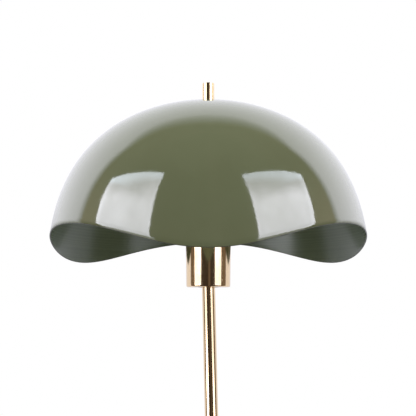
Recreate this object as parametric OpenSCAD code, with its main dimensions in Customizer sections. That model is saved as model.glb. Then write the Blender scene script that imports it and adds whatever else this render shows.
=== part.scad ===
// Adjustable arm floor lamp with a spun dome shade whose rim waves in three lobes.
// A weighted round base carries a two-part pole. A fork turns on the pole's top, and an arm tilts in it.
// At the arm's far end a second fork holds the upright stem, and the lamp's head rocks on a ball at its top.
// Part frame: origin on the floor under the pole, +Z up. At rest the arm leans towards -X in the XZ plane.

/* [Overall] */
// Height from the floor to the top of the finial
total_h = 1500; // [1350:10:1650]

/* [Base] */
// Diameter of the base cover
base_d = 280; // [240:10:320]
// Thickness of the cast weight
weight_h = 16; // [14:1:22]
// Thickness of the rubber pad
pad_h = 2; // [1.5:0.5:3]

/* [Pole] */
// Outer diameter of the pole
pole_d = 16; // [15.6:0.2:18]
// Wall of the pole tubes
pole_wall = 1.4; // [1:0.1:1.6]

/* [Arm and stem] */
// Outer diameter of the arm and stem tubes
tube_d = 12.7; // [12.6:0.1:13.4]
// Wall of the arm and stem tubes
tube_wall = 1.2; // [1:0.1:1.3]
// Length of the arm between its two pivots
arm_len = 420; // [340:10:460]
// Lean of the arm from the vertical at rest, in degrees
arm_lean = 35; // [20:1:50]
// Length of the stem from its pivot to the underside of the lampholder cup
stem_len = 160; // [140:5:220]
// Lean of the stem from the vertical at rest, in degrees
stem_lean = 1.33; // [0:0.01:4]

/* [Clamp knobs] */
// Diameter of the knurled clamp knobs
knob_d = 24; // [20:1:28]
// Thickness of the knurled clamp knobs
knob_h = 9; // [7:1:12]
// Number of grooves round a knob
knob_grooves = 40; // [24:4:48]

/* [Head] */
// Diameter of the lampholder cup at its lower edge
cup_d = 42.6; // [42.4:0.1:44]
// Diameter of the lampholder cup at its mouth
cup_mouth_d = 44.2; // [44:0.1:46]
// Distance from the rim's mean level down to the cup's underside
cup_drop = 42; // [40:1:44]
// Diameter of the finial
finial_d = 12.1; // [11:0.1:14]
// Height of the finial above the shade
finial_h = 20.3; // [15:0.1:30]

/* [Shade] */
// Radius of the dome where its wall would stand vertical
dome_r = 156.4; // [140:0.1:170]
// Height of the dome's top above the rim's mean level
dome_h = 138.9; // [138:0.1:142]
// Distance from the dome's top down to the level where its wall would stand vertical
dome_reach = 228.9; // [200:0.1:260]
// Squareness of the dome's outline, where 2 is an ellipse
dome_power = 3.52; // [2.8:0.01:4]
// Thickness of the spun metal
shade_wall = 1; // [0.8:0.1:1.2]
// Number of lobes round the wavy rim
lobes = 3; // [3:1:5]
// Height of the rim's main wave, above and below its mean level
wave_h = 13.1; // [0:0.1:16]
// Height of the rim's second wave, which makes the troughs flatter than the crests
wave2_h = 1.1; // [0:0.1:2]

/* [Hidden] */
$fn = 64;
eps = 0.01;         // how far a cutter runs past the face it opens
fit = 0.05;         // radial or face gap of a running fit
slip = 0.04;        // radial gap of a tube over its spigot
clear = 0.3;        // gap between pieces that don't locate each other

// Base stack, from the floor up
cover_wall = 1.5;
cover_edge_r = 7;
cover_lift = 1;                              // gap between the cover's edge and the floor
weight_top = pad_h + weight_h;
base_top = weight_top + cover_wall;
base_r = base_d / 2;
weight_r = base_r - cover_wall - 2.5;
weight_chamfer = 3;
pad_r = weight_r - 4;
nipple_r = 5;
nipple_bore_r = 3.6;
nipple_top = base_top + 22;
nut_recess_r = 17;
nut_recess_top = pad_h + 7;
base_washer_h = 1.5;
base_washer_r = 12;
base_nut_h = 4.5;
base_nut_w = 17;
cord_r = 3.4;                                // bore of the inlet, for a 6.5 mm flex
cord_z = pad_h + 5.2;
cord_channel_w = 12;
grommet_r = 4.4;
grommet_flange_r = 5.2;
grommet_flange_h = 2;
grommet_inner = base_r - cover_wall - clear;  // outer face of the flange behind the cover's wall
channel_top = cord_z + grommet_flange_r + 2 * clear;

// Pole, from the foot up
pole_r = pole_d / 2;
pole_bore_r = pole_r - pole_wall;
foot_r = 23;
foot_flange_h = 4;
foot_chamfer = 1.5;
foot_collar_r = pole_r + 2.5;
foot_collar_h = 14;
foot_collar_chamfer = 0.8;
foot_spigot_h = 26;
pole_split_z = 400;                          // where the two pole tubes meet
coupler_h = 50;
bush_depth = 26;
bush_flange_h = 2;
spindle_r = 4;
spindle_len = 34;
spindle_nut_w = 11;
spindle_nut_h = 4;

// Knuckle, the clamped hinge that is used at both ends of the arm
pivot_r = 3;
ear_r = 9.5;
ear_t = 3.5;
washer_t = 1.5;
tongue_t = 7;
ear_y = tongue_t / 2 + washer_t + fit;       // inner face of an ear
ear_out = ear_y + ear_t;
slot_depth = ear_r + 1;                      // from the pivot down to the slot's floor
fork_corner_r = ear_r + 1.7;                  // rounds the fork's four upright edges
fork_foot = slot_depth + 9;                  // from the pivot down to the fork's underside
bore_stop = 2.5;                             // metal left between a fork's lead bore and its slot
fork_cone_h = 4;                             // cone from the arm's tube up to its fork
shank_start = slot_depth + 1.5;              // from the pivot to where a tongue's round shank starts
shank_end = shank_start + 8;                 // from the pivot to where the tube starts
spigot_len = 25;
screw_end_r = 2.5;                           // threaded end that carries the knob
knob_gap = 0.3;
thread_len = knob_h + 3;

tube_r = tube_d / 2;
tube_bore_r = tube_r - tube_wall;
lead_r = 2;
lead_bore_r = 2.3;

// Hidden ball joint, with its centre above the cup's underside
ball_r = 11;
ball_flat = 7.5;                             // from the ball's centre to its two flats
ball_up = 8.5;                               // from the cup's underside to the ball's centre
ball_z = ball_up - cup_drop;                 // the ball's centre in the head's frame
cup_opening_r = 9.6;
seat_r = ball_r + fit;
nipple_neck_r = 4.5;
ball_nut_h = 3;
retainer_h = 4.5;
retainer_r = 19;
cup_wall = 1.1;
cup_top = 14;                                // all head heights are above the rim's mean level
cup_edge_r = 1.6;
cup_inner_r = cup_d / 2 - cup_wall;

// Lampholder and its bridge
bridge_t = 1.5;
bridge_w = 12;
bridge_leg_y = 12.2;
bridge_foot_y = 18.8;
bridge_top = ball_z + 15;
retainer_screw_y = 16.3;
holder_r = 16.3;
holder_top = 13;
holder_bore_r = 14.4;
holder_floor = bridge_top + 4.5;
holder_screw_y = 7;
shell_r = 14.1;
shell_wall = 0.6;

// Bulb
cap_r = shell_r - shell_wall - 0.15;
cap_bottom = holder_floor + 4;
bulb_r = 30;
bulb_mid = 64;
bulb_neck_r = 14;
bulb_neck_z = 22;
glass_t = 1;

// Harp, the bent wire that carries the shade over the bulb
wire_r = 1.5;
wire_sides = 12;
bend_steps = 6;                              // straight steps that make each bend of the wire
harp_leg_x = 17.9;
harp_side_x = 40;
harp_top = 131;
saddle_w = 8;
saddle_t = 1.2;
saddle_z = holder_floor - 4.5 - saddle_t - 2;
socket_r = 1.95;

// Shade mounting stack on the axis
stud_r = 3;
stud_plate_h = 2;
stud_plate_r = 9;
seat_washer_h = 1.5;
eyelet_r = 5.3;
eyelet_flange_r = 8;
eyelet_drop = 0.3;                           // from the dome's inner skin on the axis down to the flange
shade_hole_r = 5.5;
stack_0 = harp_top + wire_r;                 // top of the wire
stack_1 = stack_0 + stud_plate_h;            // top of the stud's plate
stack_2 = stack_1 + seat_washer_h;           // top of the seat washer
finial_top = dome_h + finial_h;
shade_rings = 12;
shade_steps = 72;

// Places of the main frames
rim_z = total_h - finial_top;
ball_reach = stem_len + ball_up;
pivot_z = rim_z + ball_z - ball_reach * cos(stem_lean) - arm_len * cos(arm_lean);
elbow = [-arm_len * sin(arm_lean), 0, pivot_z + arm_len * cos(arm_lean)];
head_x = elbow.x - ball_reach * sin(stem_lean);
pole_top = pivot_z - fork_foot - fit - bush_flange_h;
stem_top = ball_reach - ball_flat - fit;

green = "#6f7558";
brass = "#c9a878";
steel = "#b8b8b8";
black = "#2b2b2b";
ivory = "#eeeae0";

// ---- Frames ----

module at_swivel() {
    translate([0, 0, pivot_z]) children();
}

module along_arm() {
    translate([0, 0, pivot_z]) rotate([0, -arm_lean, 0]) children();
}

module along_stem() {
    translate(elbow) rotate([0, -stem_lean, 0]) children();
}

module in_head() {
    translate([head_x, 0, rim_z]) children();
}

// ---- Shared shapes ----

// A round tube from z0 to z1.
module pipe(r_out, r_in, z0, z1) {
    translate([0, 0, z0]) difference() {
        cylinder(r = r_out, h = z1 - z0);
        translate([0, 0, -eps]) cylinder(r = r_in, h = z1 - z0 + 2 * eps);
    }
}

// A cylinder along Y between two values of y.
module rod_y(r, y0, y1) {
    translate([0, y1, 0]) rotate([90, 0, 0]) cylinder(r = r, h = y1 - y0);
}

// A six-sided nut with a round bore, standing on z0.
module hex_nut(across_flats, bore_r, z0, h) {
    translate([0, 0, z0]) difference() {
        cylinder(r = across_flats / sqrt(3), h = h, $fn = 6);
        translate([0, 0, -eps]) cylinder(r = bore_r, h = h + 2 * eps);
    }
}

// The outline of a turned bar with a chamfer of c at both ends, for rotate_extrude.
module turned_outline(r, z0, z1, c) {
    polygon([[0, z0], [r - c, z0], [r, z0 + c], [r, z1 - c], [r - c, z1], [0, z1]]);
}

module turned(r, z0, z1, c) {
    rotate_extrude() turned_outline(r, z0, z1, c);
}

// A fork with its pivot at the origin, its slot open upwards and its round foot below.
module fork_body() {
    difference() {
        union() {
            turned(pole_r, -fork_foot, -slot_depth - 1, 0.6);
            intersection() {
                rotate([90, 0, 0]) linear_extrude(2 * ear_out, center = true) fork_side();
                translate([0, 0, -2 * slot_depth]) cylinder(r = fork_corner_r, h = 4 * slot_depth);
            }
        }
        translate([-2 * ear_r, -ear_y, -slot_depth]) cube([4 * ear_r, 2 * ear_y, 3 * slot_depth]);
        rod_y(pivot_r + fit, -2 * ear_out, 2 * ear_out);
    }
}

// The fork seen from the side: round ears on a square block.
module fork_side() {
    block_h = slot_depth + 4;
    circle(r = ear_r);
    translate([-ear_r, -block_h]) square([2 * ear_r, block_h]);
}

// A tongue with its pivot at the origin and its shank upwards, ending in a spigot for a tube.
module tongue_body() {
    difference() {
        union() {
            rod_y(ear_r, -tongue_t / 2, tongue_t / 2);
            translate([-tube_r, -tongue_t / 2, 0]) cube([2 * tube_r, tongue_t, shank_start + 1]);
            turned(tube_r + 0.6, shank_start, shank_end, 0.6);
            translate([0, 0, shank_end - 1]) cylinder(r = tube_bore_r - slip, h = spigot_len + 1);
        }
        rod_y(pivot_r + fit, -2 * tongue_t, 2 * tongue_t);
        translate([0, 0, shank_start]) cylinder(r = lead_bore_r, h = shank_end + spigot_len);
    }
}

// The shouldered screw through a knuckle: its slotted head is at +Y, and its thread at -Y takes the knob.
module pivot_screw() {
    head_h = 3;
    slot_w = 1.2;
    difference() {
        union() {
            rod_y(pivot_r, -ear_out, ear_out + eps);
            rod_y(2 * pivot_r, ear_out, ear_out + head_h);
            rod_y(screw_end_r, -ear_out - thread_len, -ear_out + eps);
        }
        translate([-10, ear_out + head_h - slot_w, -slot_w / 2]) cube([20, slot_w + eps, slot_w]);
    }
}

// Two flat washers that line the slot of a fork.
module friction_washers() {
    for (side = [-1, 1]) {
        translate([0, side * (tongue_t / 2 + washer_t / 2 + fit / 2), 0]) difference() {
            rod_y(ear_r - 1, -washer_t / 2, washer_t / 2);
            rod_y(pivot_r + fit, -washer_t, washer_t);
        }
    }
}

// A knurled knob on the thread of a pivot screw.
module clamp_knob() {
    hub_h = 2;
    groove_r = 0.8;
    y_near = -ear_out - knob_gap;
    difference() {
        union() {
            rod_y(knob_d / 3, y_near - hub_h, y_near);
            rod_y(knob_d / 2, y_near - knob_h, y_near - hub_h);
        }
        rod_y(screw_end_r + fit, y_near - knob_h - 1, y_near + 1);
        for (i = [0 : knob_grooves - 1]) {
            rotate([0, i * 360 / knob_grooves, 0]) translate([knob_d / 2 + groove_r / 2, 0, 0])
                rod_y(groove_r, y_near - knob_h - 1, y_near - hub_h + eps, $fn = 16);
        }
    }
}

// A slotted round-headed screw hanging down from z0, with its head above.
module small_screw(r, head_r, head_h, z0, len) {
    difference() {
        union() {
            translate([0, 0, z0 - len]) cylinder(r = r, h = len + eps, $fn = 32);
            translate([0, 0, z0]) cylinder(r = head_r, h = head_h, $fn = 32);
        }
        translate([-head_r - 1, -0.3, z0 + head_h / 2]) cube([2 * head_r + 2, 0.6, head_h]);
    }
}

// ---- Base ----

module base_pad() {
    color(black) cylinder(r = pad_r, h = pad_h);
}

module base_weight() {
    color("#3a3a3a") difference() {
        turned(weight_r, pad_h, weight_top, weight_chamfer);
        cylinder(r = nipple_r + clear, h = base_top);
        cylinder(r = nut_recess_r, h = nut_recess_top);
        translate([-cord_channel_w / 2, 0, 0]) cube([cord_channel_w, base_r, channel_top]);
    }
}

module base_cover() {
    color(green) difference() {
        rotate_extrude($fn = 128) difference() {
            cover_outline(base_r, cover_edge_r, cover_lift, base_top);
            cover_outline(base_r - cover_wall, cover_edge_r - cover_wall, cover_lift - 1, weight_top);
        }
        cylinder(r = nipple_r + fit, h = base_top + eps);
        translate([0, 0, cord_z]) rod_y(grommet_r + fit, grommet_inner, base_r + eps);
    }
}

// Half the section of a disc with a rounded upper edge.
module cover_outline(r, edge_r, z0, z1) {
    translate([0, z0]) square([r, z1 - z0 - edge_r]);
    translate([0, z0]) square([r - edge_r, z1 - z0]);
    translate([r - edge_r, z1 - edge_r]) intersection() {
        circle(r = edge_r);
        square([edge_r, edge_r]);
    }
}

module base_washer() {
    z0 = nut_recess_top - base_washer_h;
    color(steel) pipe(base_washer_r, nipple_r + clear, z0, nut_recess_top);
}

module base_nut() {
    z1 = nut_recess_top - base_washer_h;
    color(steel) hex_nut(base_nut_w, nipple_r, z1 - base_nut_h, base_nut_h);
}

module base_nipple() {
    color(steel) pipe(nipple_r, nipple_bore_r, pad_h + clear, nipple_top);
}

module cord_inlet_grommet() {
    color(black) translate([0, 0, cord_z]) difference() {
        union() {
            rod_y(grommet_flange_r, base_r, base_r + grommet_flange_h);
            rod_y(grommet_r, grommet_inner - eps, base_r + eps);
            rod_y(grommet_flange_r, grommet_inner - grommet_flange_h, grommet_inner);
        }
        rod_y(cord_r, grommet_inner - 2 * grommet_flange_h, base_r + 2 * grommet_flange_h);
    }
}

// ---- Pole ----

module pole_foot() {
    color(brass) difference() {
        union() {
            turned(foot_r, base_top, base_top + foot_flange_h, foot_chamfer);
            turned(foot_collar_r, base_top + 1, base_top + foot_collar_h, foot_collar_chamfer);
            translate([0, 0, base_top]) cylinder(r = pole_bore_r - slip, h = foot_spigot_h);
        }
        // The pole tube stands inside the collar, round the spigot.
        pipe(pole_r + slip, pole_bore_r - slip, base_top + foot_flange_h, base_top + foot_collar_h + 1);
        cylinder(r = nipple_r, h = nipple_top);
        cylinder(r = nipple_bore_r, h = total_h);
    }
}

module pole_lower_tube() {
    color(brass) pipe(pole_r, pole_bore_r, base_top + foot_flange_h, pole_split_z);
}

module pole_coupler() {
    color(steel) pipe(pole_bore_r - slip, nipple_bore_r, pole_split_z - coupler_h / 2,
        pole_split_z + coupler_h / 2);
}

module pole_upper_tube() {
    color(brass) pipe(pole_r, pole_bore_r, pole_split_z, pole_top);
}

module pole_top_bush() {
    color(brass) difference() {
        union() {
            turned(pole_r, pole_top, pole_top + bush_flange_h, 0.4);
            translate([0, 0, pole_top - bush_depth]) cylinder(r = pole_bore_r - slip, h = bush_depth + 1);
        }
        translate([0, 0, pole_top - bush_depth - 1]) cylinder(r = spindle_r + fit, h = bush_depth + 5);
    }
}

module pole_lead() {
    color(ivory) translate([0, 0, nipple_top - 20]) cylinder(r = lead_r, h = pole_top - nipple_top - 30);
}

// ---- Swivel on the pole's top ----

module swivel_fork() {
    color(brass) at_swivel() difference() {
        union() {
            fork_body();
            translate([0, 0, -fork_foot - spindle_len]) cylinder(r = spindle_r, h = spindle_len + 1);
        }
        translate([0, 0, -fork_foot - spindle_len - eps])
            cylinder(r = lead_bore_r, h = spindle_len + fork_foot - slot_depth - bore_stop);
    }
}

module swivel_retaining_nut() {
    z1 = pole_top - bush_depth - fit;
    color(steel) hex_nut(spindle_nut_w, spindle_r, z1 - spindle_nut_h, spindle_nut_h);
}

module swivel_pivot_screw() {
    color(brass) at_swivel() pivot_screw();
}

module swivel_friction_washers() {
    color(ivory) at_swivel() friction_washers();
}

module swivel_clamp_knob() {
    color(brass) at_swivel() clamp_knob();
}

// ---- Arm ----

module arm_tongue() {
    color(brass) along_arm() tongue_body();
}

module arm_tube() {
    color(brass) along_arm() pipe(tube_r, tube_bore_r, shank_end, arm_len - fork_foot - fork_cone_h);
}

module arm_fork() {
    cone_z = -fork_foot - fork_cone_h;
    color(brass) along_arm() translate([0, 0, arm_len]) difference() {
        union() {
            fork_body();
            translate([0, 0, cone_z]) cylinder(r1 = tube_r + 0.4, r2 = pole_r - 0.8, h = fork_cone_h + 1);
            translate([0, 0, cone_z - spigot_len]) cylinder(r = tube_bore_r - slip, h = spigot_len + 1);
        }
        translate([0, 0, cone_z - spigot_len - eps])
            cylinder(r = lead_bore_r, h = spigot_len - cone_z - slot_depth - bore_stop);
    }
}

module arm_lead() {
    color(ivory) along_arm() translate([0, 0, shank_end])
        cylinder(r = lead_r, h = arm_len - fork_foot - shank_end);
}

module elbow_pivot_screw() {
    color(brass) along_arm() translate([0, 0, arm_len]) pivot_screw();
}

module elbow_friction_washers() {
    color(ivory) along_arm() translate([0, 0, arm_len]) friction_washers();
}

module elbow_clamp_knob() {
    color(brass) along_arm() translate([0, 0, arm_len]) clamp_knob();
}

// ---- Stem and its hidden ball ----

module stem_tongue() {
    color(brass) along_stem() tongue_body();
}

module stem_tube() {
    color(brass) along_stem() pipe(tube_r, tube_bore_r, shank_end, stem_top);
}

module stem_nipple() {
    color(steel) along_stem() difference() {
        union() {
            translate([0, 0, stem_top - spigot_len]) cylinder(r = tube_bore_r - slip, h = spigot_len);
            translate([0, 0, stem_top - 1]) cylinder(r = nipple_neck_r, h = 2 * ball_flat + ball_nut_h + 2.2);
        }
        translate([0, 0, stem_top - spigot_len - 1]) cylinder(r = lead_bore_r, h = 60);
    }
}

module stem_ball_nut() {
    color(steel) along_stem() hex_nut(13, nipple_neck_r, ball_reach + ball_flat + fit, ball_nut_h);
}

module stem_lead() {
    color(ivory) along_stem() translate([0, 0, shank_end]) cylinder(r = lead_r, h = stem_top - shank_end);
}

module swivel_ball() {
    color(brass) along_stem() translate([0, 0, ball_reach]) difference() {
        intersection() {
            sphere(r = ball_r);
            cube([4 * ball_r, 4 * ball_r, 2 * ball_flat], center = true);
        }
        cylinder(r = nipple_neck_r + fit, h = 4 * ball_r, center = true);
    }
}

// ---- Head: cup, ball seat and lampholder ----

module holder_cup() {
    r0 = cup_d / 2;
    r1 = cup_mouth_d / 2;
    color(brass) in_head() difference() {
        rotate_extrude($fn = 96) {
            difference() {
                polygon([[0, -cup_drop], [r0, -cup_drop], [r1, cup_top], [0, cup_top]]);
                translate([r0 - cup_edge_r, -cup_drop - eps]) square(cup_edge_r + 1);
            }
            translate([r0 - cup_edge_r, cup_edge_r - cup_drop]) intersection() {
                circle(r = cup_edge_r);
                translate([0, -cup_edge_r]) square(cup_edge_r);
            }
            translate([0, -cup_drop + cup_edge_r]) square([r0, 1.2]);
        }
        translate([0, 0, ball_z]) cylinder(r = cup_inner_r, h = cup_top + cup_drop);
        translate([0, 0, ball_z]) sphere(r = seat_r);
        translate([0, 0, -cup_drop - 1]) cylinder(r = cup_opening_r, h = 1 + ball_up - 5.4);
        for (side = [-1, 1]) {
            translate([0, side * retainer_screw_y, ball_z - 5]) cylinder(r = 1.5, h = 10, $fn = 32);
        }
    }
}

module ball_retainer() {
    color(steel) in_head() translate([0, 0, ball_z]) difference() {
        cylinder(r = retainer_r, h = retainer_h);
        sphere(r = seat_r);
        translate([0, 0, retainer_h - 1]) cylinder(r = 10.4, h = 2);
        for (side = [-1, 1]) {
            translate([0, side * retainer_screw_y, -1]) cylinder(r = 1.6, h = retainer_h + 2, $fn = 32);
        }
    }
}

// A strap bent into a bridge over the ball joint, which carries the lampholder.
module holder_bridge() {
    foot_z = ball_z + retainer_h;
    color(steel) in_head() difference() {
        union() {
            translate([-bridge_w / 2, -bridge_leg_y - bridge_t, bridge_top - bridge_t])
                cube([bridge_w, 2 * (bridge_leg_y + bridge_t), bridge_t]);
            for (turn = [0, 180]) rotate([0, 0, turn]) {
                translate([-bridge_w / 2, bridge_leg_y, foot_z])
                    cube([bridge_w, bridge_t, bridge_top - foot_z]);
                intersection() {
                    translate([-bridge_w / 2, bridge_leg_y, foot_z]) cube([bridge_w, 10, bridge_t]);
                    translate([0, 0, foot_z - 1]) cylinder(r = bridge_foot_y, h = bridge_t + 2);
                }
            }
        }
        for (side = [-1, 1]) {
            translate([0, side * retainer_screw_y, foot_z - 1]) cylinder(r = 1.6, h = bridge_t + 2, $fn = 32);
            translate([0, side * holder_screw_y, bridge_top - 3]) cylinder(r = 1.6, h = 4, $fn = 32);
        }
        translate([0, 0, bridge_top - 3]) cylinder(r = lead_bore_r, h = 4);
    }
}

module retainer_screws() {
    color(steel) in_head() for (side = [-1, 1]) {
        translate([0, side * retainer_screw_y, 0])
            small_screw(1.45, 2.4, 1.8, ball_z + retainer_h + bridge_t, 10);
    }
}

module lampholder_body() {
    color(black) in_head() difference() {
        turned(holder_r, bridge_top, holder_top, 0.8);
        translate([0, 0, holder_floor]) cylinder(r = holder_bore_r, h = 100);
        for (side = [-1, 1]) {
            translate([0, side * holder_screw_y, bridge_top - 1]) cylinder(r = 1.6, h = 10, $fn = 32);
        }
        translate([0, 0, bridge_top - 1]) cylinder(r = lead_bore_r, h = 10);
        // Flats on two sides let the harp's saddle pass between the holder and the cup.
        for (turn = [0, 180]) rotate([0, 0, turn]) {
            translate([harp_leg_x - socket_r - 0.3, -saddle_w, bridge_top - 1]) cube([10, 2 * saddle_w, 100]);
        }
    }
}

module holder_screws() {
    color(steel) in_head() for (side = [-1, 1]) {
        translate([0, side * holder_screw_y, 0]) small_screw(1.45, 2.6, 1.6, holder_floor, 6);
    }
}

module lampholder_screw_shell() {
    color(brass) in_head() pipe(shell_r, shell_r - shell_wall, holder_floor + 2, holder_top - 1.5);
}

module lampholder_contact() {
    color(brass) in_head() translate([0, 0, holder_floor]) {
        translate([-2, -4, 0.9]) cube([4, 8, 0.6]);
        translate([-2, -4, 0]) cube([4, 0.6, 1]);
        translate([0, 0, 1.2]) cylinder(r = 2.6, h = 1.2);
    }
}

// ---- Head: harp, shade mounting and finial ----

// A round wire through corner points in the XZ plane, with each inner corner bent to a given radius.
// A plane point is [x, z], and d is a direction in that plane.
function direction(a, b) = (b - a) / norm(b - a);
function turn_at(p, i) = let (a = p[i] - p[i - 1], b = p[i + 1] - p[i])
    atan2(a.x * b.y - a.y * b.x, a * b);
function bend(p, bend_r, i) = let (
    turn = turn_at(p, i),
    d = direction(p[i - 1], p[i]),
    start = p[i] - d * bend_r * tan(abs(turn) / 2),
    middle = start + sign(turn) * bend_r * [-d.y, d.x],
    spoke = start - middle
) [for (k = [0 : bend_steps]) let (a = turn * k / bend_steps)
    middle + [spoke.x * cos(a) - spoke.y * sin(a), spoke.x * sin(a) + spoke.y * cos(a)]];
function wire_ring(q, d, r) = [for (k = [0 : wire_sides - 1]) let (a = k * 360 / wire_sides)
    [q.x - d.y * r * cos(a), r * sin(a), q.y + d.x * r * cos(a)]];

module bent_wire(p, bend_r, r) {
    last = len(p) - 1;
    line = [
        p[0],
        for (i = [1 : last - 1]) each bend(p, bend_r[i], i),
        p[last]
    ];
    end = len(line) - 1;
    rings = [for (i = [0 : end]) each
        wire_ring(line[i], direction(line[max(i - 1, 0)], line[min(i + 1, end)]), r)];
    polyhedron(rings, concat(
        [[for (k = [wire_sides - 1 : -1 : 0]) k]],
        [for (i = [0 : end - 1], k = [0 : wire_sides - 1])
            let (k2 = (k + 1) % wire_sides, a = i * wire_sides, b = a + wire_sides)
            [a + k, a + k2, b + k2, b + k]],
        [[for (k = [0 : wire_sides - 1]) end * wire_sides + k]]
    ));
}

module harp() {
    half = [
        [harp_leg_x, saddle_z + 2.5],
        [harp_leg_x, 22],
        [harp_side_x, 42],
        [harp_side_x, 88],
        [harp_side_x - 18, harp_top]
    ];
    half_bends = [0, 20, 20, 30, 20];
    path = concat(half, [for (i = [len(half) - 1 : -1 : 0]) [-half[i].x, half[i].y]]);
    bends = concat(half_bends, [for (i = [len(half) - 1 : -1 : 0]) half_bends[i]]);
    color(steel) in_head() bent_wire(path, bends, wire_r);
}

// A strap across the cup with a socket at each end for a leg of the harp.
module harp_saddle() {
    color(steel) in_head() difference() {
        union() {
            for (turn = [0, 180]) rotate([0, 0, turn]) {
                translate([harp_leg_x, 0, saddle_z]) cylinder(r = socket_r, h = 10, $fn = 32);
                intersection() {
                    translate([bridge_w / 2 + 0.1, -saddle_w / 2, saddle_z]) cube([20, saddle_w, saddle_t]);
                    translate([0, 0, saddle_z - 1]) cylinder(r = cup_inner_r - 0.2, h = 4);
                }
            }
            pipe(11.2, 10.2, saddle_z, saddle_z + saddle_t);
        }
        for (side = [-1, 1]) {
            translate([side * harp_leg_x, 0, saddle_z + 2.5]) cylinder(r = wire_r, h = 20, $fn = 32);
        }
    }
}

module harp_stud() {
    color(brass) in_head() {
        translate([0, 0, stack_0]) cylinder(r = stud_plate_r, h = stud_plate_h);
        translate([0, 0, stack_0]) cylinder(r = stud_r, h = finial_top - 8 - stack_0);
    }
}

module shade_seat_washer() {
    color(ivory) in_head() pipe(stud_plate_r, stud_r + 0.1, stack_1, stack_2);
}

module finial() {
    color(brass) in_head() difference() {
        turned(finial_d / 2, dome_h + fit, finial_top, 0.3);
        cylinder(r = stud_r, h = finial_top - 8);
    }
}

// ---- Bulb ----

module bulb_cap() {
    color(steel) in_head() difference() {
        union() {
            translate([0, 0, cap_bottom + 3]) cylinder(r = cap_r, h = holder_top + 3 - cap_bottom);
            translate([0, 0, cap_bottom]) cylinder(r1 = 8, r2 = cap_r, h = 3 + eps);
        }
        translate([0, 0, cap_bottom - 1]) cylinder(r = 6, h = 3);
        translate([0, 0, cap_bottom + 3]) cylinder(r = cap_r - 0.5, h = 50);
    }
}

module bulb_insulator() {
    color(black) in_head() {
        translate([0, 0, cap_bottom - 0.6]) cylinder(r = 5.9, h = 2.5);
        translate([0, 0, cap_bottom - 1.5]) cylinder(r = 4, h = 1);
    }
}

// The glass is a sphere on a neck that widens to meet it along a concave curve.
function bulb_outline(r, inset) = concat(
    [[cap_r - 0.7 - inset, holder_top], [cap_r - 0.7 - inset, holder_top + 6]],
    [for (t = [0 : 1 / 12 : 1]) bulb_shoulder(t, r, inset)],
    [for (a = [-30 : 6 : 90]) [r * cos(a), bulb_mid + r * sin(a)]]
);
function bulb_shoulder(t, r, inset) = let (
    low = [bulb_neck_r - inset, bulb_neck_z],
    low_handle = [bulb_neck_r - inset, bulb_neck_z + 9],
    high = [r * cos(-36), bulb_mid + r * sin(-36)],
    high_handle = high - 9 * [sin(36), cos(36)]
) pow(1 - t, 3) * low + 3 * t * pow(1 - t, 2) * low_handle
    + 3 * t * t * (1 - t) * high_handle + pow(t, 3) * high;

module bulb_glass() {
    outer = bulb_outline(bulb_r, 0);
    inner = bulb_outline(bulb_r - glass_t, glass_t);
    color(ivory) in_head() rotate_extrude()
        polygon(concat(outer, [for (i = [len(inner) - 1 : -1 : 0]) inner[i]]));
}

// ---- Shade ----

// Height of the rim at an angle measured from the front (-Y) of the lamp.
function rim_height(angle) = -wave_h * cos(lobes * angle) - wave2_h * cos(2 * lobes * angle);

// The dome's outline by a sweep parameter s, which is 0 on the axis at the top and 90 at the vertical wall.
function dome_point(s, inset) = [
    (dome_r - inset) * sin(s),
    dome_h - dome_reach + (dome_reach - inset) * pow(cos(s), 2 / dome_power)
];
function sweep_at_radius(r, inset) = asin(r / (dome_r - inset));
function sweep_at_height(z, inset) =
    acos(pow((z - dome_h + dome_reach) / (dome_reach - inset), dome_power / 2));

// One skin of the shade as rings of points, from the hole at the top down to the rim.
function skin(inset) = [
    for (ring = [0 : shade_rings])
        for (step = [0 : shade_steps - 1])
            let (
                angle = step * 360 / shade_steps,
                s0 = sweep_at_radius(shade_hole_r, inset),
                s1 = sweep_at_height(rim_height(angle), inset),
                q = dome_point(s0 + (s1 - s0) * ring / shade_rings, inset)
            ) [-q.x * sin(angle), -q.x * cos(angle), q.y]
];

module shade() {
    points = concat(skin(0), skin(shade_wall));
    inner = (shade_rings + 1) * shade_steps;
    last = shade_rings * shade_steps;
    faces = concat(
        [for (ring = [0 : shade_rings - 1], i = [0 : shade_steps - 1])
            let (j = (i + 1) % shade_steps, a = ring * shade_steps, b = a + shade_steps)
            [a + i, a + j, b + j, b + i]],
        [for (ring = [0 : shade_rings - 1], i = [0 : shade_steps - 1])
            let (j = (i + 1) % shade_steps, a = inner + ring * shade_steps, b = a + shade_steps)
            [b + i, b + j, a + j, a + i]],
        [for (i = [0 : shade_steps - 1]) let (j = (i + 1) % shade_steps)
            [last + i, last + j, inner + last + j, inner + last + i]],
        [for (i = [0 : shade_steps - 1]) let (j = (i + 1) % shade_steps)
            [inner + i, inner + j, j, i]]
    );
    color(green) in_head() polyhedron(points, faces);
}

module shade_eyelet() {
    bottom = stack_2 + fit;
    flange_top = dome_h - shade_wall - eyelet_drop;
    color(brass) in_head() difference() {
        union() {
            translate([0, 0, bottom]) cylinder(r = eyelet_flange_r, h = flange_top - bottom);
            translate([0, 0, bottom]) cylinder(r = eyelet_r, h = dome_h - fit - bottom);
        }
        cylinder(r = stud_r + fit, h = finial_top);
    }
}

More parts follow.
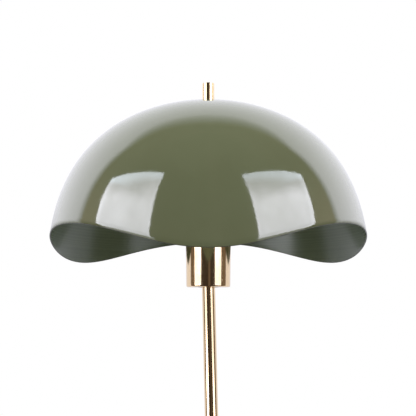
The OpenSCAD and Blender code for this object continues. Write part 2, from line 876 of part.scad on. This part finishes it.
base_pad();
base_weight();
base_cover();
base_nut();
base_washer();
base_nipple();
cord_inlet_grommet();
pole_foot();
pole_lower_tube();
pole_coupler();
pole_upper_tube();
pole_top_bush();
pole_lead();
swivel_fork();
swivel_retaining_nut();
swivel_pivot_screw();
swivel_friction_washers();
swivel_clamp_knob();
arm_tongue();
arm_tube();
arm_fork();
arm_lead();
elbow_pivot_screw();
elbow_friction_washers();
elbow_clamp_knob();
stem_tongue();
stem_tube();
stem_nipple();
stem_ball_nut();
stem_lead();
swivel_ball();
holder_cup();
ball_retainer();
holder_bridge();
retainer_screws();
lampholder_body();
holder_screws();
lampholder_screw_shell();
lampholder_contact();
harp_saddle();
harp();
harp_stud();
shade_seat_washer();
finial();
bulb_cap();
bulb_insulator();
bulb_glass();
shade();
shade_eyelet();
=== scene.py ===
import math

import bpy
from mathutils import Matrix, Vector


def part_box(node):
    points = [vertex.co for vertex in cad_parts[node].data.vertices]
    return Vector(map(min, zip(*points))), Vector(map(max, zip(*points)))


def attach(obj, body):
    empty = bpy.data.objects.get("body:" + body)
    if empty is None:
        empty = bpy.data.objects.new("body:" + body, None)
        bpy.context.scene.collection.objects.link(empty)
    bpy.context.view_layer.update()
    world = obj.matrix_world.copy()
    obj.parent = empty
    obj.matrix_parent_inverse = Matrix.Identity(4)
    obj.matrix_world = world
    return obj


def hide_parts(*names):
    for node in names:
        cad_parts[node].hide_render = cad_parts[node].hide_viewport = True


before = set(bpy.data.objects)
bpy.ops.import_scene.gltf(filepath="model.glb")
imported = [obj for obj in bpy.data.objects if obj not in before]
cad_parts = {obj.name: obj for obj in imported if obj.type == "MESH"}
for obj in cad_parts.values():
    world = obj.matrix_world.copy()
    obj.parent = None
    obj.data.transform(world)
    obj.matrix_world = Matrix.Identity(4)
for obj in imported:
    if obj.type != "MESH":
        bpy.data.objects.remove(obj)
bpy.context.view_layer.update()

# Looks for the adjustable arm floor lamp: its finishes, a fine spun shade, the studio and the camera.
# Lengths in this file are millimetres times MM, in the part's own frame: +Z up, the camera at -Y.

MM = 0.001

# ---- Places ----

FINIAL_TOP = 159.2                       # above the rim's mean level
finial_low, finial_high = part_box("finial")
HEAD_X = (finial_low.x + finial_high.x) / 2
RIM_Z = finial_high.z - FINIAL_TOP * MM
RIM_MIDDLE = (HEAD_X, 0, RIM_Z)

# ---- Shade ----

DOME_R = 156.4
DOME_H = 138.9
DOME_REACH = 228.9                       # from the dome's top down to where its outline would be upright
DOME_POWER = 3.52                        # roundness of the outline: 2 is an ellipse, more is squarer
SHADE_WALL = 1.0
LOBES = 3
WAVE_H = 13.1                            # height of the rim's wave above and below its mean level
WAVE2_H = 1.1                            # the same for the ripple twice as fine
SHADE_HOLE_R = 5.5
SHADE_STEPS = 288                        # faces round the shade
SHADE_RINGS = 72                         # faces from its top to its rim
EDGE_STEPS = 6                           # faces round the rim's rounded edge
OUTSIDE, INSIDE, EDGE = 0, 1, 2          # the shade's material slots

# ---- Camera ----

CAMERA_DISTANCE = 914.9
CAMERA_DROP = 67.2                       # below the rim's mean level
CAMERA_SIDE = -0.3
CAMERA_PITCH = 6.385
CAMERA_LENS = 81.55
CAMERA_SENSOR = 36

# ---- Floor, softboxes and lamps ----

FLOOR_R = 6000
FLOOR_SEGMENTS = 128
PANEL_GLOW = 9.8
PANEL_CLOUD = (0.88, 1.1)                # its cloth's unevenness
PANEL_PEAK = 1.2
PANEL_LOWER_HALF = 0.84
PANEL_TOP_BAND = 0.3
PANEL_SIDE_BAND = 0.15
DIP_START_Z, DIP_FULL_Z = 100, 45        # where the softboxes dim for the cup, above the rim's mean level
LOW_START_Z, LOW_FULL_Z = -120, -240     # where they are bright again for the stem
# The softboxes' corners from the top row down, each row [outer, inner], measured from the middle of the rim.
# The shade reflects them down to the fourth row, and the brass reflects the rest.
LEFT_PANEL = [
    [(-780, -130, 554), (-696, -898, 1140)],
    [(-880, -135, 400), (-925, -1135, 730)],
    [(-932, -159, 245), (-1008, -1231, 380)],
    [(-963, -161, 150), (-1050, -1252, 150)],
    [(-985, -285, 50), (-1030, -1320, 50)],
    [(-1140, -300, -400), (-1250, -1420, -400)],
]
RIGHT_PANEL = [
    [(751, -143, 591), (553, -1015, 1128)],
    [(863, -204, 425), (778, -1255, 710)],
    [(925, -246, 255), (881, -1337, 355)],
    [(956, -254, 150), (933, -1358, 150)],
    [(935, -365, 50), (955, -1390, 50)],
    [(1090, -425, -400), (1150, -1500, -400)],
]
# Each lamp's name, place from the middle of the rim, width and power.
LAMPS = [
    ("key_left", (-1100, -1100, 900), 900, 17.5),
    ("key_right", (1100, -1100, 900), 900, 17.5),
    ("top_light", (0, 0, 1800), 1400, 2.2),
    ("floor_bounce", (0, -700, -900), 1200, 2),
]

# ---- World: how bright its parts are, and where they lie ----
# Places are parts of a direction's unit vector: 0 is on the horizon or in the lamp's own plane, and 1 is
# overhead, straight back or straight to the right.

PAPER_LEVEL = 0.88                       # near the horizon
PAPER_RISE_UP = 1.2                      # added overhead
PAPER_RISE_ASIDE = 2.9                   # added to the left and right
PAPER_RISE_LESS = 0.13                   # taken off both, so that the middle stays plain
PAPER_START = (0.225, 0.105)             # where the paper's edge begins, at the horizon and overhead
PAPER_FULL = (0.375, 0.235)              # where it ends, at the horizon and overhead
ROOM_LEVEL = (0.048, 0.175)              # straight ahead, and to the left and right
DOORWAY_LEVEL = 0.10
DOORWAY_ACROSS = 0.09
WALL_LEVEL = 0.11
SPILL_LEVEL = 0.7
BACKDROP_LEVEL = (0.72, 1.0)             # all round, and behind the lamp
TINY = 0.001                             # keeps a division whole straight up and straight down

# ---- Colours ----

GREEN = (0.130, 0.149, 0.083, 1)
GREEN_WORN = (0.136, 0.156, 0.088, 1)
# Painted light: the inside's greens are paler and greener than the outside's, though it is the same enamel,
# to brighten the shaded inside.
GREEN_INSIDE_LIT = (0.156, 0.212, 0.128, 1)
GREEN_INSIDE_LIT_PALE = (0.188, 0.250, 0.154, 1)
EDGE_DARK = (0.030, 0.034, 0.020, 1)
EDGE_PALE = (0.060, 0.066, 0.040, 1)
BRASS = (0.86, 0.67, 0.425, 1)
BRASS_WARM = (0.82, 0.61, 0.36, 1)
BRASS_DULL = (0.40, 0.32, 0.20, 1)
BRASS_DULL_WARM = (0.35, 0.28, 0.17, 1)
BRASS_CONTACT = (0.80, 0.60, 0.30, 1)
BRASS_CONTACT_BROWN = (0.62, 0.44, 0.22, 1)
ZINC_COOL = (0.60, 0.61, 0.62, 1)
ZINC_WARM = (0.70, 0.69, 0.66, 1)
IRON_BLACK = (0.018, 0.018, 0.019, 1)
IRON_GREY = (0.055, 0.053, 0.050, 1)
PAD_BLACK = (0.014, 0.014, 0.014, 1)
PAD_GREY = (0.030, 0.029, 0.028, 1)
GROMMET_BLACK = (0.012, 0.012, 0.012, 1)
GROMMET_GREY = (0.024, 0.024, 0.023, 1)
NYLON_DARK = (0.74, 0.72, 0.66, 1)
NYLON_PALE = (0.82, 0.80, 0.75, 1)
PHENOLIC_BLACK = (0.010, 0.010, 0.011, 1)
PHENOLIC_BROWN = (0.026, 0.024, 0.022, 1)
OPAL_DARK = (0.80, 0.79, 0.75, 1)
OPAL_PALE = (0.86, 0.85, 0.82, 1)
VINYL_DARK = (0.62, 0.60, 0.54, 1)
VINYL_PALE = (0.70, 0.68, 0.62, 1)
FLOOR_DARK = (0.87, 0.87, 0.80, 1)
FLOOR_PALE = (0.89, 0.89, 0.82, 1)
WHITE = (1, 1, 1, 1)
STUDIO_TINT = (1.0, 0.995, 1.09, 1)
ROOM_TINT = (1.0, 0.76, 0.57, 1)
PANEL_BAND_TINT = (0.93, 1.0, 1.12, 1)

# ---- Node trees ----

NOISE_LOW, NOISE_HIGH = 0.3, 0.7         # nearly all of a noise lies between these
TURNED = (0.05, 0.05, 1)                 # draws a noise out into lines round a turned piece
FLOWED = (1, 1, 0.3)                     # draws it out upwards, as plastic flows in a mould


class Graph:
    """The node tree of one material or of the world, with short calls for the nodes used here."""

    def __init__(self, owner):
        owner.use_nodes = True
        self.tree = owner.node_tree

    def node(self, kind, inputs=None, **settings):
        made = self.tree.nodes.new(kind)
        for key, value in settings.items():
            setattr(made, key, value)
        for key, value in (inputs or {}).items():
            self.feed(made.inputs[key], value)
        return made

    def feed(self, socket, value):
        if isinstance(value, bpy.types.NodeSocket):
            self.tree.links.new(value, socket)
        else:
            socket.default_value = value

    def math(self, operation, *values):
        return self.node("ShaderNodeMath", dict(enumerate(values)), operation=operation).outputs[0]

    def add(self, a, b):
        return self.math("ADD", a, b)

    def subtract(self, a, b):
        return self.math("SUBTRACT", a, b)

    def times(self, a, b):
        return self.math("MULTIPLY", a, b)

    def length(self, x, y):
        return self.math("SQRT", self.add(self.times(x, x), self.times(y, y)))

    def smooth(self, value, low, high, to_low=0.0, to_high=1.0):
        """Runs smoothly from to_low to to_high as value goes from low to high."""
        inputs = {"Value": value, "From Min": low, "From Max": high, "To Min": to_low, "To Max": to_high}
        made = self.node("ShaderNodeMapRange", inputs, interpolation_type="SMOOTHSTEP")
        return made.outputs["Result"]

    def span(self, value, low, high, to_low, to_high):
        """The same as smooth, but in a straight line."""
        inputs = {"Value": value, "From Min": low, "From Max": high, "To Min": to_low, "To Max": to_high}
        return self.node("ShaderNodeMapRange", inputs).outputs["Result"]

    def drift(self, noise, to_low, to_high):
        """Spreads a noise over a range."""
        return self.span(noise, NOISE_LOW, NOISE_HIGH, to_low, to_high)

    def mix(self, factor, a, b):
        """One colour turning into another."""
        made = self.node("ShaderNodeMix", data_type="RGBA")
        for socket, value in zip([made.inputs[i] for i in (0, 6, 7)], (factor, a, b)):
            self.feed(socket, value)
        return made.outputs[2]

    def blend(self, factor, a, b):
        """One number turning into another."""
        return self.add(a, self.times(factor, self.subtract(b, a)))

    def place(self, scale=(1, 1, 1), origin=(0, 0, 0)):
        """Object coordinates from an origin, stretched by scale: a small scale draws out long streaks."""
        coordinates = self.node("ShaderNodeTexCoord").outputs["Object"]
        shift = self.node("ShaderNodeVectorMath", {0: coordinates, 1: origin}, operation="SUBTRACT")
        return self.node("ShaderNodeMapping", {"Vector": shift.outputs[0], "Scale": scale}).outputs["Vector"]

    def split(self, vector):
        """A vector's x, y and z."""
        return self.node("ShaderNodeSeparateXYZ", {0: vector}).outputs

    def noise(self, grain, detail, roughness=0.5, vector=None):
        """Noise whose features are grain millimetres across."""
        inputs = {
            "Vector": vector or self.place(),
            "Scale": 1 / (grain * MM),
            "Detail": detail,
            "Roughness": roughness,
        }
        return self.node("ShaderNodeTexNoise", inputs).outputs["Fac"]

    def spun_place(self, origin):
        """Distance from a vertical axis and height along it, for noise that runs in rings round the axis."""
        x, y, z = self.split(self.place(origin=origin))
        return self.node("ShaderNodeCombineXYZ", {"X": self.length(x, y), "Y": z}).outputs[0]


class Finish(Graph):
    """A Principled material."""

    def __init__(self, name, **constants):
        self.material = bpy.data.materials.new(name)
        super().__init__(self.material)
        self.shader = self.tree.nodes["Principled BSDF"]
        for key, value in constants.items():
            self.set(key.replace("_", " "), value)

    def set(self, key, value):
        self.feed(self.shader.inputs[key], value)

    def colour(self, factor, a, b):
        self.set("Base Color", self.mix(factor, a, b))

    def sheen(self, noise, low, high):
        """Lets the roughness drift with a noise."""
        self.set("Roughness", self.drift(noise, low, high))

    def bump(self, height, depth, strength, base=None):
        """A relief depth millimetres high, on top of the relief in base."""
        inputs = {"Height": height, "Distance": depth * MM, "Strength": strength}
        if base is not None:
            inputs["Normal"] = base
        normal = self.node("ShaderNodeBump", inputs).outputs["Normal"]
        self.set("Normal", normal)
        return normal


# ---- Finishes ----

def gloss_enamel(name, origin):
    """Stoved gloss enamel: a soft orange peel, faint drifts of colour, spin marks and a few hairlines."""
    f = Finish(name, IOR=1.5)
    f.colour(f.smooth(f.noise(45, 3), 0.35, 0.65), GREEN, GREEN_WORN)
    f.sheen(f.noise(12, 4), 0.045, 0.085)
    peel = f.bump(f.noise(4.5, 2), depth=0.04, strength=0.5)
    rings = f.noise(1.6, 2, vector=f.spun_place(origin))
    spun = f.bump(rings, depth=0.01, strength=0.35, base=peel)
    off_line = f.math("ABSOLUTE", f.subtract(f.noise(60, 2), 0.5))
    hairlines = f.smooth(off_line, 0.0, 0.006, to_low=1.0, to_high=0.0)
    handled = f.smooth(f.noise(90, 1), 0.5, 0.6)
    f.bump(f.times(hairlines, handled), depth=0.02, strength=0.5, base=spun)
    return f.material


def satin_enamel(name, origin):
    """The inside of the shade: the same enamel sprayed flatter over the spinning's rings, its colour a
    paler, greener copy of the outside's green, painted light on the shaded inside.
    """
    f = Finish(name, IOR=1.5)
    rings = f.noise(1.1, 3, vector=f.spun_place(origin))
    f.colour(f.smooth(rings, NOISE_LOW, NOISE_HIGH), GREEN_INSIDE_LIT, GREEN_INSIDE_LIT_PALE)
    f.sheen(rings, 0.20, 0.27)
    grain = f.bump(f.noise(2.2, 3), depth=0.03, strength=0.3)
    f.bump(rings, depth=0.01, strength=0.4, base=grain)
    return f.material


def dark_rim_edge():
    """The rim's rounded edge, coloured nearly black, much darker than the enamel on either side."""
    f = Finish("shade_rim_edge", IOR=1.5)
    f.colour(f.noise(6, 3), EDGE_DARK, EDGE_PALE)
    f.sheen(f.noise(2, 2), 0.25, 0.45)
    f.bump(f.noise(1.2, 2), depth=0.03, strength=0.5)
    return f.material


def polished_brass():
    """Lacquered brass: almost a mirror, with turning marks, faint smudges and a warmer tarnish."""
    f = Finish("brass_polished", Metallic=1.0)
    tarnish = f.smooth(f.noise(30, 4), 0.45, 0.75, to_low=0.0, to_high=0.6)
    f.colour(tarnish, BRASS, BRASS_WARM)
    smudges = f.span(f.noise(20, 5, 0.6), 0.35, 0.7, 0.07, 0.14)
    lines = f.noise(0.8, 2, vector=f.place(scale=TURNED))
    f.set("Roughness", f.add(smudges, f.drift(lines, 0.0, 0.03)))
    f.bump(lines, depth=0.002, strength=0.04)
    return f.material


def finial_brass():
    """The finial's brass: a darker copy of the polished brass, with its own turning marks."""
    f = Finish("brass_finial", Metallic=1.0)
    f.colour(f.smooth(f.noise(8, 4), 0.4, 0.7), BRASS_DULL, BRASS_DULL_WARM)
    f.sheen(f.noise(4, 4), 0.08, 0.16)
    f.bump(f.noise(0.8, 2, vector=f.place(scale=TURNED)), depth=0.002, strength=0.1)
    return f.material


def contact_brass():
    """Plain brass that carries current, browned by heat in patches."""
    f = Finish("brass_contact", Metallic=1.0)
    f.colour(f.noise(4, 3), BRASS_CONTACT, BRASS_CONTACT_BROWN)
    f.sheen(f.noise(2, 3), 0.22, 0.4)
    f.bump(f.noise(1, 2), depth=0.02, strength=0.4)
    return f.material


def zinc_steel():
    """Bright zinc plate: a cool grey with a cloudy passivation."""
    f = Finish("steel_zinc", Metallic=1.0)
    f.colour(f.noise(8, 4), ZINC_COOL, ZINC_WARM)
    f.sheen(f.noise(3, 4), 0.22, 0.42)
    f.bump(f.noise(0.6, 3), depth=0.01, strength=0.5)
    return f.material


def cast_iron():
    """Painted iron casting with the sand's pitted skin."""
    f = Finish("iron_cast", IOR=1.5)
    pits = f.noise(1.8, 5, 0.65)
    f.colour(pits, IRON_BLACK, IRON_GREY)
    f.sheen(f.noise(4, 4), 0.55, 0.8)
    f.bump(pits, depth=0.4, strength=0.6)
    return f.material


def rubber(name, dark, pale, grain):
    """Moulded black rubber, dusty in patches."""
    f = Finish(name, IOR=1.45)
    f.colour(f.noise(grain * 8, 3), dark, pale)
    f.sheen(f.noise(grain * 3, 4), 0.6, 0.85)
    f.bump(f.noise(grain, 3), depth=0.1, strength=0.4)
    return f.material


def nylon():
    """Natural nylon: off-white, waxy and slightly translucent."""
    depths = (2 * MM, 1.8 * MM, 1.4 * MM)
    f = Finish("nylon_natural", IOR=1.53, Subsurface_Weight=0.2, Subsurface_Radius=depths)
    f.colour(f.noise(4, 3), NYLON_DARK, NYLON_PALE)
    f.sheen(f.noise(1.5, 3), 0.32, 0.5)
    f.bump(f.noise(0.8, 2), depth=0.02, strength=0.4)
    return f.material


def black_thermoset(name):
    """Moulded black phenolic: glossy, with a fine mottle and flow marks."""
    f = Finish(name, IOR=1.6)
    f.colour(f.noise(3, 4, vector=f.place(scale=FLOWED)), PHENOLIC_BLACK, PHENOLIC_BROWN)
    f.sheen(f.noise(1.5, 4), 0.18, 0.34)
    f.bump(f.noise(0.8, 3), depth=0.02, strength=0.5)
    return f.material


def opal_glass():
    """A white-coated bulb that isn't lit: a smooth gloss over a soft milky body."""
    depths = (6 * MM, 6 * MM, 5 * MM)
    f = Finish("glass_opal", IOR=1.5, Subsurface_Weight=0.35, Subsurface_Radius=depths)
    f.colour(f.noise(20, 2), OPAL_DARK, OPAL_PALE)
    f.sheen(f.noise(10, 3), 0.06, 0.14)
    f.bump(f.noise(5, 2), depth=0.03, strength=0.3)
    return f.material


def lead_sheath():
    """Soft vinyl round the leads inside the tubes."""
    f = Finish("vinyl_lead", IOR=1.5)
    f.colour(f.noise(6, 3), VINYL_DARK, VINYL_PALE)
    f.sheen(f.noise(2, 3), 0.4, 0.6)
    f.bump(f.noise(1.2, 2), depth=0.03, strength=0.4)
    return f.material


def paint_cad_nodes():
    """Gives every carried-over CAD node the finish that its slot names, but the finial a darker brass."""
    finishes = {
        "pad_rubber": rubber("rubber_pad", PAD_BLACK, PAD_GREY, grain=0.9),
        "grommet_rubber": rubber("rubber_grommet", GROMMET_BLACK, GROMMET_GREY, grain=0.5),
        "cast_weight": cast_iron(),
        "green_enamel": gloss_enamel("enamel_base", (0, 0, 0)),
        "shade_enamel": gloss_enamel("enamel_cad_shade", RIM_MIDDLE),
        "zinc_steel": zinc_steel(),
        "polished_brass": polished_brass(),
        "contact_brass": contact_brass(),
        "lead_sheath": lead_sheath(),
        "nylon": nylon(),
        "holder_plastic": black_thermoset("thermoset_holder"),
        "bulb_insulator": black_thermoset("thermoset_bulb"),
        "opal_glass": opal_glass(),
    }
    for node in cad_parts.values():
        for slot in node.material_slots:
            slot.material = finishes[slot.material.name]
    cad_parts["finial"].material_slots[0].material = finial_brass()


# ---- Shade mesh ----

def rim_height(angle):
    """Height of the rim in millimetres at an angle from the lamp's front."""
    return -WAVE_H * math.cos(LOBES * angle) - WAVE2_H * math.cos(2 * LOBES * angle)


def dome_point(sweep, inset):
    """Radius and height of the dome's outline, where sweep is 0 on the axis at the top."""
    radius = (DOME_R - inset) * math.sin(sweep)
    height = DOME_H - DOME_REACH + (DOME_REACH - inset) * math.cos(sweep) ** (2 / DOME_POWER)
    return radius, height


def sweep_at_radius(radius, inset):
    return math.asin(radius / (DOME_R - inset))


def sweep_at_height(height, inset):
    return math.acos(((height - DOME_H + DOME_REACH) / (DOME_REACH - inset)) ** (DOME_POWER / 2))


def skin_line(angle, inset):
    """One skin's points from the hole at the top down to just above the rim's rounded edge."""
    first = sweep_at_radius(SHADE_HOLE_R, inset)
    last = sweep_at_height(rim_height(angle) + SHADE_WALL / 2, inset)
    return [dome_point(first + (last - first) * i / SHADE_RINGS, inset) for i in range(SHADE_RINGS + 1)]


def edge_line(outer, inner):
    """Half a circle from the end of the outer skin round to the end of the inner one."""
    middle = ((outer[0] + inner[0]) / 2, (outer[1] + inner[1]) / 2)
    half = math.dist(outer, inner) / 2
    steps = [math.pi * i / EDGE_STEPS for i in range(1, EDGE_STEPS)]
    return [(middle[0] + half * math.cos(a), middle[1] - half * math.sin(a)) for a in steps]


def shade_line(angle):
    """The shade's whole section at an angle: outer skin, rim edge, inner skin."""
    outer = skin_line(angle, 0)
    inner = skin_line(angle, SHADE_WALL)
    return outer + edge_line(outer[-1], inner[-1]) + inner[::-1]


def shade_part(row):
    """The material slot of the faces between one row of points and the next."""
    if row < SHADE_RINGS:
        return OUTSIDE
    if row < SHADE_RINGS + EDGE_STEPS:
        return EDGE
    return INSIDE


def add_mesh(name, points, faces):
    """Makes an object from a mesh and puts it in the scene."""
    mesh = bpy.data.meshes.new(name)
    mesh.from_pydata(points, [], faces)
    made = bpy.data.objects.new(name, mesh)
    bpy.context.collection.objects.link(made)
    return made


def make_shade():
    """The spun shade as a closed shell, with a rounded rim edge."""
    points = []
    for step in range(SHADE_STEPS):
        angle = 2 * math.pi * step / SHADE_STEPS
        for radius, height in shade_line(angle):
            x = HEAD_X - radius * math.sin(angle) * MM
            y = -radius * math.cos(angle) * MM
            points.append((x, y, RIM_Z + height * MM))
    rows = len(points) // SHADE_STEPS
    faces = []
    parts = []
    for step in range(SHADE_STEPS):
        here = step * rows
        there = (step + 1) % SHADE_STEPS * rows
        for row in range(rows):
            below = (row + 1) % rows
            faces.append((here + row, there + row, there + below, here + below))
            parts.append(shade_part(row))
    shade = add_mesh("shade_spun", points, faces)
    shade.data.materials.append(gloss_enamel("enamel_shade", RIM_MIDDLE))
    shade.data.materials.append(satin_enamel("enamel_shade_inside", RIM_MIDDLE))
    shade.data.materials.append(dark_rim_edge())
    shade.data.polygons.foreach_set("material_index", parts)
    shade.data.shade_smooth()
    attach(shade, "shade")
    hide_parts("shade")


# ---- Studio ----

def make_floor():
    """A plain pale floor disc."""
    f = Finish("floor_paper", IOR=1.3)
    f.colour(f.noise(400, 3), FLOOR_DARK, FLOOR_PALE)
    f.sheen(f.noise(50, 3), 0.75, 0.9)
    ring = [2 * math.pi * i / FLOOR_SEGMENTS for i in range(FLOOR_SEGMENTS)]
    points = [(FLOOR_R * MM * math.cos(a), FLOOR_R * MM * math.sin(a), 0) for a in ring]
    floor = add_mesh("floor", points, [range(FLOOR_SEGMENTS)])
    floor.data.materials.append(f.material)
    floor.visible_glossy = False
    floor.visible_diffuse = False


def panel_glow(name, top_level, dip_level, low_level):
    """A softbox's cloth: cloudy, with a bright cool band along its top and bright sides.

    Near the top it starts at top_level and grows brighter downwards. Where the lampholder cup reflects it,
    it dips to dip_level of its brightness. Where the stem reflects it, it rises again by low_level.
    """
    material = bpy.data.materials.new(name)
    g = Graph(material)
    g.tree.nodes.clear()
    across, down = g.split(g.node("ShaderNodeTexCoord").outputs["UV"])[:2]
    from_side = g.math("MINIMUM", across, g.subtract(1.0, across))
    side_band = g.smooth(from_side, 0.02, 0.07, to_low=PANEL_SIDE_BAND, to_high=0.0)
    top_band = g.smooth(down, 0.016, 0.07, to_low=1.0, to_high=0.0)
    cloud = g.drift(g.noise(300, 4, 0.6), *PANEL_CLOUD)
    upper_fall = g.smooth(down, 0.03, 0.2, to_low=top_level, to_high=PANEL_PEAK)
    lower_fall = g.smooth(down, 0.3, 0.5, to_low=1.0, to_high=PANEL_LOWER_HALF)
    body = g.times(cloud, g.times(upper_fall, lower_fall))
    body = g.add(body, g.add(side_band, g.times(top_band, PANEL_TOP_BAND)))
    height = g.split(g.place(origin=RIM_MIDDLE))[2]
    above_cup = g.smooth(height, DIP_FULL_Z * MM, DIP_START_Z * MM, to_low=dip_level, to_high=1.0)
    below_cup = g.smooth(height, LOW_FULL_Z * MM, LOW_START_Z * MM, to_low=low_level, to_high=0.0)
    level = g.times(body, g.add(above_cup, below_cup))
    inputs = {"Color": g.mix(top_band, STUDIO_TINT, PANEL_BAND_TINT), "Strength": g.times(level, PANEL_GLOW)}
    glow = g.node("ShaderNodeEmission", inputs)
    g.node("ShaderNodeOutputMaterial", {"Surface": glow.outputs[0]})
    return material


def make_panel(name, rows, top_level, dip_level, low_level):
    """A softbox as a strip of quads, with UVs that run 0 to 1 across it and down it."""
    points = [(HEAD_X + x * MM, y * MM, RIM_Z + z * MM) for row in rows for x, y, z in row]
    last = len(rows) - 1
    faces = [(2 * i, 2 * i + 1, 2 * i + 3, 2 * i + 2) for i in range(last)]
    panel = add_mesh(name, points, faces)
    uv = panel.data.uv_layers.new(name="UVMap")
    for loop in panel.data.loops:
        row, side = divmod(loop.vertex_index, 2)
        uv.data[loop.index].uv = (side, row / last)
    panel.data.materials.append(panel_glow(name + "_glow", top_level, dip_level, low_level))
    panel.visible_camera = False
    panel.visible_diffuse = False
    panel.visible_shadow = False


def paper_light(g, x, up):
    """White paper, plain near the horizon and brighter upwards and to the left and right."""
    rise = g.add(g.times(up, PAPER_RISE_UP), g.times(g.times(x, x), PAPER_RISE_ASIDE))
    over_horizon = g.smooth(up, 0.03, 0.2)
    return g.add(PAPER_LEVEL, g.times(g.subtract(rise, PAPER_RISE_LESS), over_horizon))


def paper_cover(g, y, up):
    """Runs from 0 before the paper's edge to 1 behind it.

    The edge is a little behind the lamp's own plane. It is sharpest near the horizon, and softest overhead.
    """
    low = g.smooth(up, 0.05, 0.2, to_low=1.0, to_high=0.0)
    overhead = g.smooth(up, 0.75, 0.95, to_low=0.0, to_high=0.3)
    start = g.subtract(g.span(up, 0.0, 1.0, *PAPER_START), g.times(low, 0.035))
    full = g.subtract(g.add(g.span(up, 0.0, 1.0, *PAPER_FULL), overhead), g.times(low, 0.105))
    return g.smooth(y, start, full)


def room_light(g, x, y, z):
    """The dim room before the lamp: a narrow doorway, a paler band of wall, and light spilt at the sides."""
    across = g.math("DIVIDE", x, g.math("MAXIMUM", g.length(x, y), TINY))
    sideways = g.math("POWER", g.math("ABSOLUTE", across), 6.0)
    from_doorway = g.math("ABSOLUTE", g.subtract(across, DOORWAY_ACROSS))
    doorway = g.smooth(from_doorway, 0.05, 0.12, to_low=DOORWAY_LEVEL, to_high=0.0)
    wall = g.times(g.smooth(z, 0.08, 0.20), g.smooth(z, 0.28, 0.45, to_low=WALL_LEVEL, to_high=0.0))
    spill = g.times(g.smooth(z, 0.06, 0.22), g.smooth(z, 0.3, 0.75, to_low=SPILL_LEVEL, to_high=0.0))
    room = g.add(g.span(sideways, 0.0, 1.0, *ROOM_LEVEL), g.add(doorway, wall))
    return g.add(room, g.times(spill, sideways))


def backdrop_light(g, y, z):
    """What the camera sees past the floor: white behind the lamp, and pale grey all round."""
    behind_lamp = g.times(g.smooth(y, 0.45, 0.9), g.smooth(z, -0.2, -0.115))
    return g.blend(behind_lamp, *BACKDROP_LEVEL)


def make_world():
    """White paper behind, beside and above the lamp, and a dim room in front of it, for the reflections."""
    world = bpy.data.worlds.new("studio")
    bpy.context.scene.world = world
    g = Graph(world)
    g.tree.nodes.clear()
    x, y, z = g.split(g.node("ShaderNodeTexCoord").outputs["Generated"])
    up = g.math("MAXIMUM", z, 0.0)
    on_paper = paper_cover(g, y, up)
    studio = g.blend(on_paper, room_light(g, x, y, z), paper_light(g, x, up))
    tint = g.mix(g.smooth(on_paper, 0.0, 0.25), ROOM_TINT, STUDIO_TINT)
    to_camera = g.node("ShaderNodeLightPath").outputs["Is Camera Ray"]
    inputs = {
        "Color": g.mix(to_camera, tint, WHITE),
        "Strength": g.blend(to_camera, studio, backdrop_light(g, y, z)),
    }
    background = g.node("ShaderNodeBackground", inputs)
    g.node("ShaderNodeOutputWorld", {"Surface": background.outputs[0]})


def make_camera():
    """A camera a little under the shade's rim, looking slightly up."""
    data = bpy.data.cameras.new("camera")
    data.lens = CAMERA_LENS
    data.sensor_width = CAMERA_SENSOR
    camera = bpy.data.objects.new("camera", data)
    camera.location = (HEAD_X + CAMERA_SIDE * MM, -CAMERA_DISTANCE * MM, RIM_Z - CAMERA_DROP * MM)
    camera.rotation_euler = (math.radians(90 + CAMERA_PITCH), 0, 0)
    bpy.context.collection.objects.link(camera)
    bpy.context.scene.camera = camera


def make_lamp(name, place, width, power):
    """A soft light aimed at the head. It lights only the matt part of a finish: softboxes make the gloss."""
    data = bpy.data.lights.new(name, "AREA")
    data.shape = "SQUARE"
    data.size = width * MM
    data.energy = power
    lamp = bpy.data.objects.new(name, data)
    lamp.location = [a + b * MM for a, b in zip(RIM_MIDDLE, place)]
    lamp.rotation_euler = (-Vector(place)).to_track_quat("-Z", "Y").to_euler()
    lamp.visible_glossy = False
    lamp.visible_camera = False
    bpy.context.collection.objects.link(lamp)


bpy.context.scene.view_settings.view_transform = "Standard"
make_camera()
make_world()
make_floor()
make_panel("softbox_left", LEFT_PANEL, top_level=0.70, dip_level=0.18, low_level=0.33)
make_panel("softbox_right", RIGHT_PANEL, top_level=0.56, dip_level=0.16, low_level=0.12)
for lamp in LAMPS:
    make_lamp(*lamp)
paint_cad_nodes()
make_shade()
